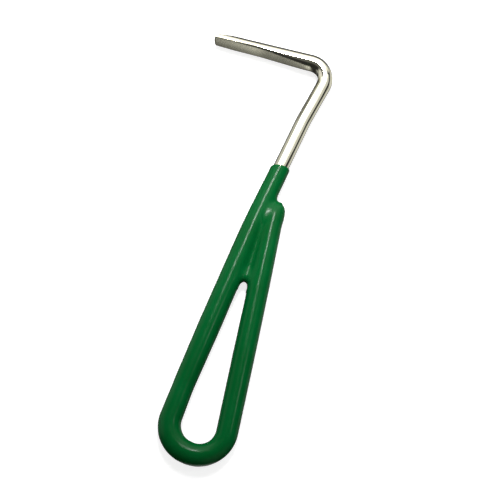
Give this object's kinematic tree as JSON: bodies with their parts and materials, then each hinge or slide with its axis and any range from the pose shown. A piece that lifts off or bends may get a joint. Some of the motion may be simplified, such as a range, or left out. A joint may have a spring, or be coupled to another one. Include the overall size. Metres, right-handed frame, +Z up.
{
  "type": "hoof pick",
  "caption": "Hoof pick made of one bent steel bar, with a hooked chisel blade and a long loop handle dipped in vinyl.",
  "frame": {"origin": "below the middle of the tool's bounding box, on the surface that the tool lies on", "axes": "+Y runs along the shank from the handle to the hook, the hook's blade points towards -X, and +Z is up, square to the flat plane in which the bar is bent"},
  "size_m": [0.0764, 0.1698, 0.0087],
  "materials": {
    "plated_steel": "polished",
    "green_vinyl": "gloss",
    "weld_metal": "satin"
  },
  "bodies": {
    "root": {"steel_bar": "plated_steel", "vinyl_grip": "green_vinyl", "front_weld_bead": "weld_metal", "back_weld_bead": "weld_metal"}
  },
  "joints": []
}
